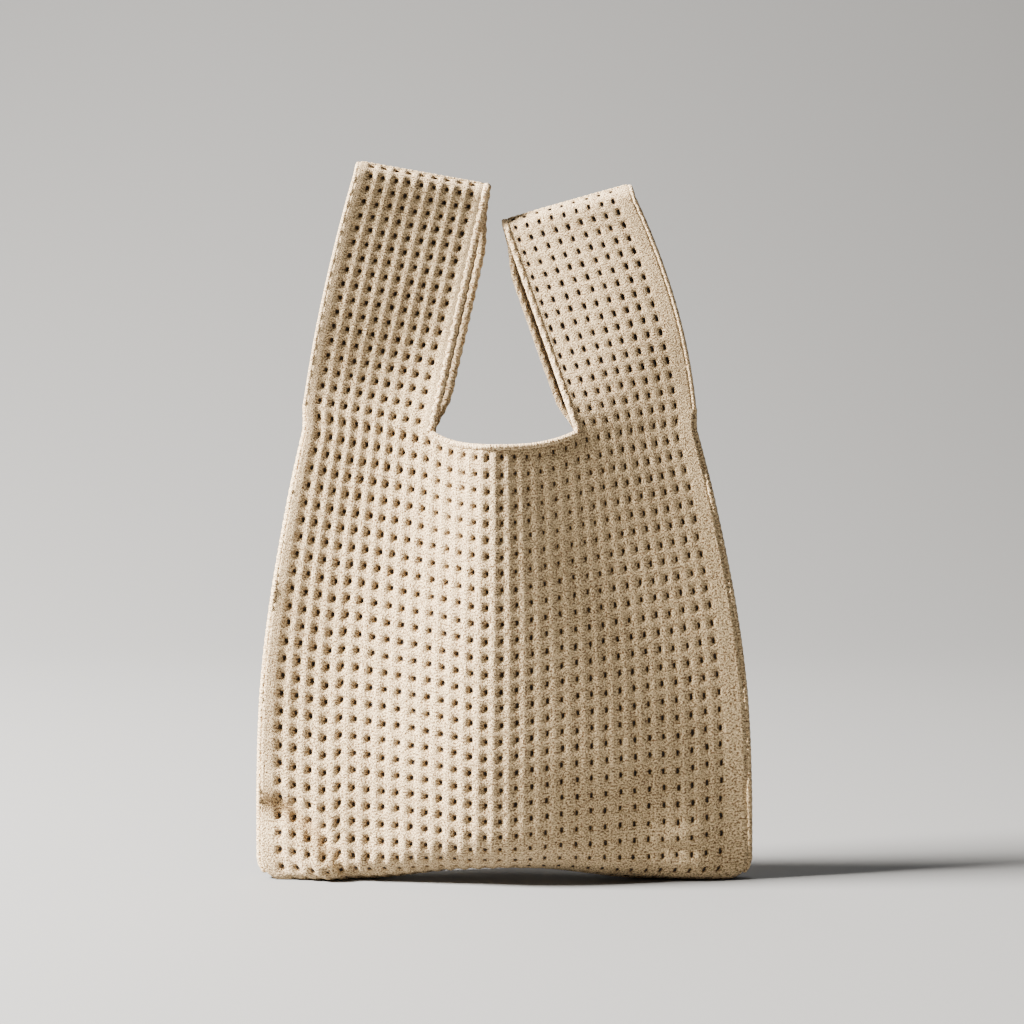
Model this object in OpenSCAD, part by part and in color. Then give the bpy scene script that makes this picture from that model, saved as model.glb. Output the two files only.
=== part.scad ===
// Knitted mesh carrier bag: two vest-shaped panels joined at the sides, along the base and over
// the straps, with corded edging round the mouth and the strap loops.
// Millimetres. The origin is the middle of the base on the table, +Z is up and -Y is the front.

/* [Body] */
// Overall width just above the base, side seams included
body_w = 330; // [280:2:380]
// Overall width where the straps leave the body
shoulder_w = 260; // [240:2:280]
// How far the shoulders sit to the left of the base
shoulder_shift = 3; // [0:1:10]
// Height of the body where the straps leave it
root_h = 300; // [260:5:340]
// Height of the panels' top edge in the mouth
mouth_h = 286; // [280:1:296]
// Width of the mouth between the straps' edgings
mouth_w = 90; // [84:2:110]
// How far the middle of the mouth sits to the right of the base
mouth_shift = 0; // [-4:1:6]
// Depth of the bag at its base
base_depth = 84; // [70:2:100]
// Depth of the bag at its mouth
mouth_depth = 56; // [44:2:60]
// Depth of the bag at its side seams
edge_depth = 10; // [10:1:14]
// Radius of the two lower corners, seen from the front
corner_r = 15; // [15:1:24]
// How far the middle of the base is lifted off the table
arch_h = 6; // [0:0.5:8]

/* [Fabric] */
// Thickness of the knitted mesh
fabric_t = 3; // [2.5:0.1:3.5]
// Radius of the corded edging
cord_r = 2.2; // [1.5:0.1:2.3]
// Width of the side seams
seam_w = 4; // [3:0.5:5]
// Height of the base seam
base_seam_h = 2.4; // [2:0.1:3]

/* [Straps] */
// Overall width of each strap where it turns at the top
strap_w = 91; // [80:1:92]
// Half the depth of a strap loop
loop_half = 9; // [8.5:0.5:11]
// Height of the middle of the left strap's top
left_top_h = 470; // [440:1:490]
// Distance of the middle of the left strap's top from the centre
left_top_x = 53.5; // [53:0.5:70]
// Tilt of the left strap's top
left_tilt = 9.6; // [5:0.2:12]
// Height of the middle of the right strap's top
right_top_h = 451; // [430:1:480]
// Distance of the middle of the right strap's top from the centre
right_top_x = 41; // [41:0.5:70]
// Tilt of the right strap's top
right_tilt = 15.4; // [8:0.2:16]
// How far the left strap's outer edge bows away from the centre
left_outer_bow = 2.5; // [0:0.5:10]
// How far the right strap's outer edge bows away from the centre
right_outer_bow = 6.5; // [0:0.5:10]
// How far the left strap's inner edge bows towards the centre
left_inner_bow = 3; // [0:0.5:8]
// How far the right strap's inner edge bows towards the centre
right_inner_bow = 1; // [0:0.5:8]
// Share of a strap's length that bends when it folds over
fold_share = 0.22; // [0.2:0.01:0.25]

/* [Hidden] */
LEFT = -1;
RIGHT = 1;
FRONT = -1;
BACK = 1;
INNER = 0;                  // place across a strap of its inner edge
OUTER = 1;                  // place across a strap of its outer edge
gap = 0.15;                 // clear space left between neighbouring pieces
strap_across = 6;           // cells from edge to edge of a strap
mouth_across = 8;           // cells from side to side of the mouth
wall_steps = 9;             // panel cells up the wall
bend_steps = 4;             // cells round a bend
strap_steps = 8;            // strap cells along one half
cap_angle = 75;             // how far each strap half reaches round the loop's top
taper = 2.2;                // how late the body narrows on its way up
ridge_round = 0.2;          // roundness of the crease down the middle of each panel
ridge_pinch = 1.5;          // how much narrower the crease is at the mouth than at the base
arch_reach = 0.6;           // share of the base's half width that is lifted
base_bend_r = 34;           // largest radius where a panel turns under the base
base_flat = 1;              // least flat width between the base seam and that bend
base_seam_half = 2.6;       // half the width of the base seam
corner_angles = [-45, -22.5, 0];  // places round the lower corners, 0 pointing outward
shoulder_seam_r = 1.8;
panel_half = body_w / 2 - seam_w;
shoulder_half = shoulder_w / 2 - seam_w;
edging_step = cord_r + 2 * gap;             // from the knit's edge to the middle of its edging
edging_w = edging_step + cord_r;
mouth_half = mouth_w / 2 + edging_w;
strap_half_w = strap_w / 2 - edging_w;
cream = [0.87, 0.80, 0.69];
light_cream = [0.92, 0.87, 0.78];
// A strap is [side, middle of its top, tilt of its top, inner bow, outer bow]
left_strap = [LEFT, [-left_top_x, left_top_h], left_tilt, left_inner_bow, left_outer_bow];
right_strap = [RIGHT, [right_top_x, right_top_h], right_tilt, right_inner_bow, right_outer_bow];

function mix(a, b, t) = a + (b - a) * t;
function smooth(t) = t * t * (3 - 2 * t);
function unit(v) = v / norm(v);
function reversed(list) = [for (i = [len(list) - 1 : -1 : 0]) list[i]];

// A flat path moved to its left, by the same distance from each of its stretches
function left_of(a, b) = let (d = unit(b - a)) [-d[1], d[0]];
function moved_over(path, distance) =
    let (last = len(path) - 1)
    [for (i = [0 : last])
        let (
            before = left_of(path[max(i - 1, 0)], path[max(i, 1)]),
            after = left_of(path[min(i, last - 1)], path[min(i + 1, last)])
        )
        path[i] + (before + after) * distance / (1 + before * after)];

// ---- Shape of the body ----

// Middle and half width of the knit at a height, above and round the lower corners
function middle_x(z) = -shoulder_shift * pow(z / root_h, 2);
function corner_cut(z) = z < corner_r ? corner_r - sqrt(pow(corner_r, 2) - pow(corner_r - z, 2)) : 0;
function half_w(z) = mix(panel_half, shoulder_half, pow(z / root_h, taper)) - corner_cut(z);

// s is -1 at the left side seam, 0 in the middle and 1 at the right side seam
function s_at(x) = (x - middle_x(root_h)) / shoulder_half;
function root_x(side, k) =
    mix(mouth_shift + side * mouth_half, middle_x(root_h) + side * shoulder_half, k);
columns = concat(
    [for (k = [strap_across : -1 : 0]) s_at(root_x(LEFT, k / strap_across))],
    [for (k = [1 : mouth_across - 1]) s_at(mix(root_x(LEFT, INNER), root_x(RIGHT, INNER), k / mouth_across))],
    [for (k = [0 : strap_across]) s_at(root_x(RIGHT, k / strap_across))]
);
mouth_columns = [for (i = [strap_across : strap_across + mouth_across]) columns[i]];

// 1 at the middle of the panel and 0 at its sides, with a soft crease that is sharper higher up
function crease(s) =
    1 - (sqrt(s * s + pow(ridge_round, 2)) - ridge_round) / (sqrt(1 + pow(ridge_round, 2)) - ridge_round);
function ridge(s, z) = pow(crease(s), 1 + ridge_pinch * z / root_h);

// Half the bag's depth, to the outer face of the knit
function half_d(s, z) =
    edge_depth / 2 + (mix(base_depth, mouth_depth, z / root_h) - edge_depth) / 2 * ridge(s, z);

// The panel's top edge dips between the straps, and its base is lifted in the middle
function top_h(s) = s > mouth_columns[0] && s < mouth_columns[mouth_across] ? mouth_h : root_h;
function foot_h(s) = arch_h * pow(max(0, 1 - pow(s / arch_reach, 2)), 2);
function body_point(s, y, z) = [middle_x(z) + s * half_w(z), y, z + foot_h(s) * pow(1 - z / root_h, 3)];

function bend_radius(s) = min(base_bend_r, half_d(s, 0) - base_seam_half - base_flat);
function wall_foot(s) = max(corner_r, bend_radius(s) + 4);
corner_heights = [for (a = corner_angles) corner_r * (1 + sin(a))];
edge_heights = concat(corner_heights, [for (k = [1 : wall_steps]) mix(corner_r, root_h, k / wall_steps)]);

// One column of a panel, from the base seam, round the bend and up to the top edge
function panel_column(s, side, inset) =
    let (d = half_d(s, 0), r = bend_radius(s), edge_r = bend_radius(1))
    concat(
        [for (k = [0, 1])
            body_point(s, side * mix(base_seam_half + gap, d - r, k), 0) + [0, 0, inset]],
        [for (k = [1 : bend_steps])
            let (a = 90 * k / bend_steps, z = r - (r - inset) * cos(a))
            body_point(s, side * (d - r + (r - inset) * sin(a) + (half_d(s, z) - d) * sin(a)), z)],
        [for (h = corner_heights)
            let (z = mix(r, wall_foot(s), (h - edge_r) / (corner_r - edge_r)))
            body_point(s, side * (half_d(s, z) - inset), z)],
        [for (k = [1 : wall_steps])
            let (z = mix(wall_foot(s), top_h(s), k / wall_steps))
            body_point(s, side * (half_d(s, z) - inset), z)]
    );
function panel_grid(side, inset) = [for (s = columns) panel_column(s, side, inset)];

// ---- Shape of the straps ----

// k is 0 at a strap's inner edge and 1 at its outer edge; t is 0 at its root and 1 where the loop turns
function strap_axis(strap) = [-strap[0] * sin(strap[2]), cos(strap[2])];
function strap_across_axis(strap) = strap[0] * [cos(strap[2]), strap[0] * sin(strap[2])];
function turn_point(strap, k) =
    strap[1] + strap_across_axis(strap) * mix(-strap_half_w, strap_half_w, k) - strap_axis(strap) * loop_half;
function strap_point(strap, k, t) =
    mix([root_x(strap[0], k), root_h], turn_point(strap, k), t)
    + [strap[0] * mix(-strap[3], strap[4], k) * 4 * t * (1 - t), 0];
function strap_depth(strap, k, t) =
    mix(half_d(s_at(root_x(strap[0], k)), root_h), loop_half, smooth(t));

// Points along one half of a strap at a place across it, from t0 up and round the loop's top
function strap_column(strap, k, side, inset) =
    concat(
        [for (i = [0 : strap_steps])
            let (t = mix(fold_share, 1, i / strap_steps), p = strap_point(strap, k, t))
            [p[0], side * (strap_depth(strap, k, t) - inset), p[1]]],
        [for (i = [1 : bend_steps])
            let (
                a = cap_angle * i / bend_steps,
                r = loop_half - inset,
                p = turn_point(strap, k) + strap_axis(strap) * r * sin(a)
            )
            [p[0], side * r * cos(a), p[1]]]
    );
function strap_grid(strap, side, inset) =
    [for (j = [0 : strap_across]) strap_column(strap, j / strap_across, side, inset)];

// Points along the stretch that bends, clear of the panel below it and the strap above it
function fold_column(strap, k, side, inset) =
    [for (i = [0 : bend_steps])
        let (t = fold_share * i / bend_steps, p = strap_point(strap, k, t))
        [p[0], side * (strap_depth(strap, k, t) - inset), p[1] + mix(gap, -gap, i / bend_steps)]];
function fold_grid(strap, side, inset) =
    [for (j = [0 : strap_across]) fold_column(strap, j / strap_across, side, inset)];

// ---- Solids from points ----

// Closed slab between two grids of points; flip turns its faces the other way out
module slab(outer, inner, flip) {
    cols = len(outer);
    rows = len(outer[0]);
    count = cols * rows;
    function at(i, j) = i * rows + j;
    rim = concat(
        [for (i = [0 : cols - 1]) at(i, 0)],
        [for (j = [1 : rows - 1]) at(cols - 1, j)],
        [for (i = [cols - 2 : -1 : 0]) at(i, rows - 1)],
        [for (j = [rows - 2 : -1 : 1]) at(0, j)]
    );
    faces = concat(
        [for (i = [0 : cols - 2], j = [0 : rows - 2])
            each [[at(i, j), at(i, j + 1), at(i + 1, j + 1)], [at(i, j), at(i + 1, j + 1), at(i + 1, j)]]],
        [for (i = [0 : cols - 2], j = [0 : rows - 2])
            each [
                [count + at(i, j), count + at(i + 1, j + 1), count + at(i, j + 1)],
                [count + at(i, j), count + at(i + 1, j), count + at(i + 1, j + 1)]
            ]],
        [for (n = [0 : len(rim) - 1])
            let (a = rim[n], b = rim[(n + 1) % len(rim)])
            each [[a, b, count + b], [a, count + b, count + a]]]
    );
    polyhedron(
        concat([for (column = outer) each column], [for (column = inner) each column]),
        [for (f = faces) flip ? reversed(f) : f]
    );
}

// Round cord along a path, with flat ends
module cord(path, r, sides = 8) {
    last = len(path) - 1;
    function along(n) = unit(path[min(n + 1, last)] - path[max(n - 1, 0)]);
    function ring(n) =
        let (
            d = along(n),
            u = unit(cross(d, abs(d[1]) < 0.9 ? [0, 1, 0] : [1, 0, 0])),
            v = cross(d, u)
        )
        [for (i = [0 : sides - 1]) path[n] + r * (u * cos(360 * i / sides) + v * sin(360 * i / sides))];
    faces = concat(
        [[for (i = [0 : sides - 1]) i]],
        [for (n = [0 : last - 1], i = [0 : sides - 1])
            let (a = n * sides + i, b = n * sides + (i + 1) % sides)
            each [[a, a + sides, b], [b, a + sides, b + sides]]],
        [[for (i = [sides - 1 : -1 : 0]) last * sides + i]]
    );
    polyhedron([for (n = [0 : last]) each ring(n)], faces);
}

// ---- Pieces ----

module panel(side) {
    color(cream) slab(panel_grid(side, 0), panel_grid(side, fabric_t), side == BACK);
}

// Plain knitted strip that closes the bag from the lower corner to the strap's root
module side_seam(side) {
    function face(out, half) =
        [for (y = [-half, half])
            [for (i = [0 : len(edge_heights) - 1])
                let (a = i < len(corner_angles) ? corner_angles[i] : 0, z = edge_heights[i])
                [middle_x(z) + side * (half_w(z) + out * cos(a)), y, z + out * sin(a)]]];
    color(light_cream) slab(face(seam_w, edge_depth / 2 - 1.5), face(gap, edge_depth / 2), side == LEFT);
}

// Linked seam under the base; its two ends are flat on the table
module base_seam() {
    low = [for (s = columns) [s * (half_w(0) - 2), foot_h(s)]];
    color(light_cream)
    rotate([90, 0, 0])
    linear_extrude(2 * base_seam_half, center = true)
    polygon(concat(low, [for (p = reversed(low)) p + [0, base_seam_h]]));
}

// Corded edging along the dip of the mouth
module mouth_edging(side) {
    edge = [for (s = mouth_columns) body_point(s, side * (half_d(s, top_h(s)) - fabric_t / 2), top_h(s))];
    path = moved_over([for (p = edge) [p[0], p[2]]], edging_step);
    color(light_cream) cord([for (i = [0 : mouth_across]) [path[i][0], edge[i][1], path[i][1]]], cord_r);
}

// From a strap's edge to the middle of the edging beside it
function beside(strap, k) = [strap[0] * (k == INNER ? -1 : 1) * edging_step, 0, 0];

// Corded edging up one edge of the front half, over the loop and down the back half
module strap_edging(strap, k) {
    function half(side) = [for (p = strap_column(strap, k, side, fabric_t / 2)) p + beside(strap, k)];
    color(light_cream) cord(concat(half(FRONT), reversed(half(BACK))), cord_r);
}

module strap_half(strap, side) {
    color(cream)
    slab(strap_grid(strap, side, 0), strap_grid(strap, side, fabric_t), side * strap[0] == BACK);
}

// Stretch of knit and edging between body and strap, front and back, that bends when the strap folds
module strap_fold(strap) {
    color(cream)
    for (side = [FRONT, BACK]) {
        slab(fold_grid(strap, side, 0), fold_grid(strap, side, fabric_t), side * strap[0] == BACK);
        for (k = [INNER, OUTER])
            cord(
                [for (i = [0 : bend_steps])
                    let (t = fold_share * mix(0.18, 0.98, i / bend_steps), p = strap_point(strap, k, t))
                    [p[0], side * (strap_depth(strap, k, t) - fabric_t / 2), p[1]] + beside(strap, k)],
                cord_r
            );
    }
}

// Linked seam over the top of a strap loop, where its two halves meet
module shoulder_seam(strap) {
    middle = turn_point(strap, 0.5) + strap_axis(strap) * (loop_half - fabric_t / 2);
    color(light_cream)
    translate([middle[0], 0, middle[1]])
    rotate([0, 90 - strap[0] * strap[2], 0])
    cylinder(h = 2 * strap_half_w - 1, r = shoulder_seam_r, center = true, $fn = 32);
}

panel(FRONT);  // front_panel
panel(BACK);  // back_panel
side_seam(LEFT);  // left_side_seam
side_seam(RIGHT);  // right_side_seam
base_seam();
mouth_edging(FRONT);  // front_mouth_edging
mouth_edging(BACK);  // back_mouth_edging
strap_fold(left_strap);  // left_strap_fold
strap_fold(right_strap);  // right_strap_fold
strap_half(left_strap, FRONT);  // left_strap_front
strap_half(left_strap, BACK);  // left_strap_back
strap_half(right_strap, FRONT);  // right_strap_front
strap_half(right_strap, BACK);  // right_strap_back
strap_edging(left_strap, INNER);  // left_strap_inner_edging
strap_edging(left_strap, OUTER);  // left_strap_outer_edging
strap_edging(right_strap, INNER);  // right_strap_inner_edging
strap_edging(right_strap, OUTER);  // right_strap_outer_edging
shoulder_seam(left_strap);  // left_shoulder_seam
shoulder_seam(right_strap);  // right_shoulder_seam
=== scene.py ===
"""A knitted mesh carrier bag standing on a pale floor.

Every panel and strap is a closed sheet of eyelet knit, made cell by cell over a curved surface.
Shapes are worked out in millimetres, with x to the right, -y to the front and z up.
"""
import math

import bpy
import numpy as np
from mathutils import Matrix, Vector


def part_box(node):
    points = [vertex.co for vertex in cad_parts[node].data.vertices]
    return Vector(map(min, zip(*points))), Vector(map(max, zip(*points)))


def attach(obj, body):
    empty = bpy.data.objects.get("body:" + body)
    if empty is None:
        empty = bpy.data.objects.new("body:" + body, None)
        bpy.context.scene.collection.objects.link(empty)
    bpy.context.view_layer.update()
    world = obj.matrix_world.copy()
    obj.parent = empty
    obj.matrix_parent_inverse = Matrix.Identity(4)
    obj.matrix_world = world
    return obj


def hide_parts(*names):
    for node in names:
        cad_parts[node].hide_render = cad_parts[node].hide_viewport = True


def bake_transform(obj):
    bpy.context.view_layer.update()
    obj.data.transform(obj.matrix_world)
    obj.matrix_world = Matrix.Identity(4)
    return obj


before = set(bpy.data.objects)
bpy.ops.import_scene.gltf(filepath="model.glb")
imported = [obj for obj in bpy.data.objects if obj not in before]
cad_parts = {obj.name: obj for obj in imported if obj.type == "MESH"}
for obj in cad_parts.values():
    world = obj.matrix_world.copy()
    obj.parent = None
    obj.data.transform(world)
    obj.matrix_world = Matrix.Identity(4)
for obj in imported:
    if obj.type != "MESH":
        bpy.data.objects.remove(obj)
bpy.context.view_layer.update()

MM = 0.001
LEFT, RIGHT = -1, 1
FRONT, BACK = -1, 1
INNER, OUTER = "inner", "outer"
NAME = {LEFT: "left", RIGHT: "right"}
HALF = {FRONT: "front", BACK: "back"}


def box_mm(node):
    """Lowest and highest corner of a CAD node, in millimetres."""
    low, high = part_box(node)
    return np.array(low) / MM, np.array(high) / MM


# ---- Sizes that come from the frame ----

panel_low, panel_high = box_mm("front_panel")
seam_low, seam_high = box_mm("left_side_seam")
ROOT_H = panel_high[2]                                # where the straps leave the body
BASE_HALF = (panel_high[0] - panel_low[0]) / 2        # half width of the knit at its widest
EDGE_HALF = (seam_high[1] - seam_low[1]) / 2          # half depth of the bag at its side seams

# ---- Body ----

SHOULDER_HALF = 126.0       # half width of the knit at the strap roots
SHOULDER_SHIFT = 3.0        # how far the shoulders sit to the left of the base
TAPER = 2.2                 # how late the body narrows on its way up
FULLNESS = 1.6              # how far the sides stand out beyond that taper
BELLY = 2.0                 # and how much more at the middle of their height
CORNER_R = 15.0
BASE_BEND = 34.0            # radius where a panel turns under the base
BASE_SEAM_HALF = 2.6
BASE_HALF_DEPTH = 42.0
MOUTH_HALF_DEPTH = {FRONT: 29.0, BACK: 21.0}
RIDGE_S = -0.05             # the crease down each panel lies slightly to the left
RIDGE_X = -9.0              # where the rows of both sides meet, close to that crease
RIDGE_ROUNDNESS = (0.26, 0.10)      # of the crease, at the base and at the roots
LEFT_POWER = (1.2, 3.8)     # how hollow a panel is left of its crease, at the base and at the roots
RIGHT_POWER = (1.0, 1.45)   # and right of it
ARCH_H = 8.0                # height of the arch in the base
ARCH_REACH = 0.64           # and its reach, as a share of the base's half width
MOUTH_HALF = 49.7
MOUTH_Z = {FRONT: 288.5, BACK: 284.0}
CORNER_Z = 299.0            # height of the mouth's corners
CORNER_POWER = {LEFT: 3.6, RIGHT: 2.4}      # how late the mouth rises towards each corner
SLOPE = {LEFT: math.tan(math.radians(12.5)), RIGHT: math.tan(math.radians(11.0))}   # of the rows
BELLY_TUCK = 5.5            # how far the cloth above the base is drawn in
FOLD_X = (-160.0, -143.0, -123.0, -107.0, -92.0)    # the low fold at the left of the front panel
FOLD_Z = (52.0, 46.0, 29.0, 12.0, 0.0)
FOLD_PARTS = ((-3.8, 0.0, 7.5), (3.8, -18.0, 12.0), (1.6, 16.0, 9.0))   # height, middle and reach
TUCK_X = 118.0              # a small tuck near the right corner

# ---- Knit ----

BODY_ROWS = 28
FABRIC_T = 2.2              # thickness of the cloth
INSIDE_SHADE = 0.8                # painted shade that darkens the hidden side of the knit, from 0 to 1
RIB_H = 1.1                 # how far the ribs stand above the rows between eyelets
GROOVE = 0.55               # how deep the crossing yarns dip below and left of each eyelet
FUNNEL = 1.35               # how deep the knit dips round an eyelet
CELL_W, CELL_H = 9.4, 11.2  # usual size of one eyelet cell


def lerp(a, b, t):
    """The value a share t of the way from a to b."""
    return a + (b - a) * t


def smooth(t):
    """0 below 0, 1 above 1, and an S curve between."""
    t = np.clip(t, 0.0, 1.0)
    return t * t * (3.0 - 2.0 * t)


def bump(x, middle, reach):
    """1 at the middle, falling away to 0 beyond its reach."""
    return np.exp(-((x - middle) / reach) ** 2)


# ---- Shape of the body ----

def middle_x(z):
    """Middle of the bag at a height, which drifts to the left on its way up."""
    return -SHOULDER_SHIFT * np.clip(z / ROOT_H, 0, 1) ** 2


def half_width(z):
    """Half width of the knit at a height, with rounded lower corners."""
    low = np.clip(CORNER_R - z, 0.0, CORNER_R)
    cut = CORNER_R - np.sqrt(CORNER_R ** 2 - low ** 2)
    full = FULLNESS + BELLY * bump(z, 135.0, 80.0)
    return lerp(BASE_HALF, SHOULDER_HALF, np.clip(z / ROOT_H, 0, 1) ** TAPER) + full - cut


def crease(t, roundness):
    """1 on the ridge and 0 at the side, with a rounded top."""
    top = np.sqrt(1 + roundness ** 2) - roundness
    return 1 - (np.sqrt(t * t + roundness ** 2) - roundness) / top


def half_depth(s, z, side):
    """Half the bag's depth: a slack curve left of the ridge and a straighter facet to its right."""
    up = np.clip(z / ROOT_H, 0.0, 1.0)
    roundness = lerp(*RIDGE_ROUNDNESS, up)
    t = np.where(s < RIDGE_S, (RIDGE_S - s) / (1 + RIDGE_S), (s - RIDGE_S) / (1 - RIDGE_S))
    power = np.where(s < RIDGE_S, lerp(*LEFT_POWER, up), lerp(*RIGHT_POWER, up))
    shape = np.maximum(crease(np.abs(t), roundness), 0.0) ** power
    return EDGE_HALF + (lerp(BASE_HALF_DEPTH, MOUTH_HALF_DEPTH[side], up) - EDGE_HALF) * shape


def top_edge(x, side):
    """Height of the row where a panel ends: a dip in the mouth, and rising outwards under the straps."""
    t = np.abs(x) / MOUTH_HALF
    rise = np.clip(t, 0, 1) ** np.where(x < 0, CORNER_POWER[LEFT], CORNER_POWER[RIGHT])
    root = CORNER_Z + (np.abs(x) - MOUTH_HALF) * np.where(x < 0, SLOPE[LEFT], SLOPE[RIGHT])
    return np.where(t < 1, lerp(MOUTH_Z[side], CORNER_Z, rise), root)


def straight_rows(x):
    """Height the top row would have if it ran straight past the mouth and down to the ridge."""
    left = CORNER_Z - (x + MOUTH_HALF) * SLOPE[LEFT]
    right = CORNER_Z - (RIDGE_X + MOUTH_HALF) * SLOPE[LEFT] + (x - RIDGE_X) * SLOPE[RIGHT]
    return (left + right) / 2 + np.hypot((left - right) / 2, 1.5)


def slack(x, z, side):
    """Folds and hollows of the cloth, positive where it stands proud."""
    waves = 0.6 * np.sin(x / 31.0 + 0.6 * side) * np.sin(z / 47.0 + 0.8)
    waves = waves + 0.35 * np.sin(x / 17.0 + z / 29.0)
    waves = waves * smooth(z / 40.0) * smooth((ROOT_H - z) / 60.0)
    low = smooth((88.0 - z) / 70.0)
    waves = waves - BELLY_TUCK * low * smooth((x + 132.0) / 50.0) * smooth((135.0 - x) / 50.0)
    if side == BACK:
        return waves
    line = z - np.interp(x, FOLD_X, FOLD_Z)
    fade = smooth((x + 166.0) / 20.0) * smooth((-84.0 - x) / 34.0)
    fold = sum(height * bump(line, middle, reach) for height, middle, reach in FOLD_PARTS) * fade
    hollow = -2.2 * bump(x, TUCK_X, 12.0) * bump(z, 24.0, 3.0)
    swell = 1.6 * bump(x, TUCK_X, 14.0) * bump(z, 32.0, 5.0)
    return waves + fold + (hollow + swell)


def fold_shade(points):
    """Painted shade in the low fold of the front panel, from 0 to 1, most at its left end."""
    x, y, z = points.T
    line = z - np.interp(x, FOLD_X, FOLD_Z)
    shade = 0.38 * bump(line, 2.0, 7.0) * smooth((-112.0 - x) / 38.0)
    shade = shade + 0.20 * bump(line, 1.0, 4.5) * bump(x, -118.0, 22.0)
    return np.where(y < 0, shade, 0.0)


def arch(s):
    """Height of the arch in the base at a place across it."""
    return ARCH_H * np.maximum(0, 1 - (s / ARCH_REACH) ** 2) ** 2


def resampled(lines, count, ease=0.0, beyond=0.0):
    """Every line of points, given again as count points along it.

    They are wider apart at the start by ease, and spread as if the line were longer by beyond, an
    extra length that is taken back near the line's end.
    """
    steps = np.linalg.norm(np.diff(lines, axis=1), axis=2)
    length = np.concatenate([np.zeros((len(lines), 1)), np.cumsum(steps, axis=1)], axis=1)
    f = np.linspace(0, 1, count)
    ease = np.broadcast_to(ease, len(lines))
    beyond = np.broadcast_to(beyond, len(lines))
    out = np.empty((len(lines), count, 3))
    for i, line in enumerate(lines):
        reach = length[i, -1] + beyond[i]
        at = f * (1 + ease[i] * (1 - f)) * reach - beyond[i] * smooth((f - 0.75) / 0.25)
        for axis in range(3):
            out[i, :, axis] = np.interp(at, length[i], line[:, axis])
    return out


# Points of a column: under the base, round its bend, and up the wall
FLAT_POINTS, BEND_POINTS, WALL_POINTS = 5, 14, 119


def body_lines(s, side):
    """For each s, a column of the panel from the base seam to its top edge."""
    s = s[:, None]
    depth = half_depth(s, 0.0 * s, side)
    r = np.minimum(BASE_BEND, depth - BASE_SEAM_HALF - 0.6)
    top = top_edge(-SHOULDER_SHIFT + s * SHOULDER_HALF, side)
    flat = np.linspace(0, 1, FLAT_POINTS)[None, :]
    turn = np.linspace(0, math.pi / 2, BEND_POINTS + 1)[None, 1:]
    wall = np.linspace(0, 1, WALL_POINTS + 1)[None, 1:]
    z = np.concatenate([0 * s + 0 * flat, r * (1 - np.cos(turn)), lerp(r, top, wall)], axis=1)
    out = half_depth(s + 0 * z, z, side)
    bend_end = FLAT_POINTS + BEND_POINTS
    start = np.concatenate([
        lerp(BASE_SEAM_HALF, depth - r, flat),
        depth - r + r * np.sin(turn) + (out[:, FLAT_POINTS:bend_end] - depth) * np.sin(turn),
        out[:, bend_end:],
    ], axis=1)
    x = middle_x(z) + s * half_width(z)
    y = side * (start + slack(x, z, side) * smooth(start / 8.0))
    return np.stack([x, y, z + arch(s) * np.clip(1 - z / ROOT_H, 0, 1) ** 3], axis=2)


def bilinear(table, u, v):
    """Points of a table at fractional places, u along its first axis and v along its second."""
    u = np.clip(u, 0, table.shape[0] - 1.000001)
    v = np.clip(v, 0, table.shape[1] - 1.000001)
    i, j = u.astype(int), v.astype(int)
    a, b = (u - i)[..., None], (v - j)[..., None]
    low = table[i, j] * (1 - a) + table[i + 1, j] * a
    high = table[i, j + 1] * (1 - a) + table[i + 1, j + 1] * a
    return low * (1 - b) + high * b


FINE = 8                    # surface points per cell
PANEL_LINES = 241           # lines worked out across a panel before its cells are laid out
ROW_EASE = (-0.055, 0.035)  # how much wider apart the low rows are, on the ridge and at the sides


def surface(points, side):
    """A knit surface: its points, FINE to a cell, and its outward normals."""
    du = np.gradient(points, axis=0)
    dv = np.gradient(points, axis=1)
    n = -side * np.cross(du, dv)
    n /= np.maximum(np.linalg.norm(n, axis=2, keepdims=True), 1e-9)
    return points, n


def body_surface(side, base_edges, root_edges):
    """The panel as a surface whose columns run between the given places at base and root."""
    s = np.linspace(-1, 1, PANEL_LINES)
    from_ridge = np.clip(np.abs(s - RIDGE_S), 0, 1)
    x = -SHOULDER_SHIFT + s * SHOULDER_HALF
    beyond = straight_rows(x) - top_edge(x, side)
    lines = resampled(body_lines(s, side), BODY_ROWS * FINE + 1, lerp(*ROW_EASE, from_ridge), beyond)
    cells = len(base_edges) - 1
    u = np.arange(cells * FINE + 1) / FINE
    at_base = np.interp(u, np.arange(cells + 1), base_edges)
    at_root = np.interp(u, np.arange(cells + 1), root_edges)
    v = np.arange(BODY_ROWS * FINE + 1)
    place = lerp(at_base[:, None], at_root[:, None], (v / v[-1])[None, :])
    return surface(bilinear(lines, (place + 1) / 2 * (len(s) - 1), v[None, :] + 0 * place), side)


def root_s(x):
    """Place across a panel, from -1 to 1, of an x at the strap roots."""
    return (x + SHOULDER_SHIFT) / SHOULDER_HALF


def root_point(s, side):
    """Where a panel's column ends at its top edge: x, distance from the middle plane, and z."""
    z = top_edge(-SHOULDER_SHIFT + s * SHOULDER_HALF, side)
    x = middle_x(z) + s * half_width(z)
    return x, half_depth(s, z, side) + slack(x, z, side), z


def even_places(start, end, count, z):
    """Places between two x, an equal length of cloth apart on the front panel at a height."""
    x = np.linspace(start, end, 400)
    half = half_width(z)
    place = (x - middle_x(z)) / half
    y = half_depth(place, z + 0 * x, FRONT)
    length = np.concatenate([[0], np.cumsum(np.hypot(np.diff(x), np.diff(y)))])
    return np.interp(np.linspace(0, length[-1], count + 1), length, place)


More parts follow.
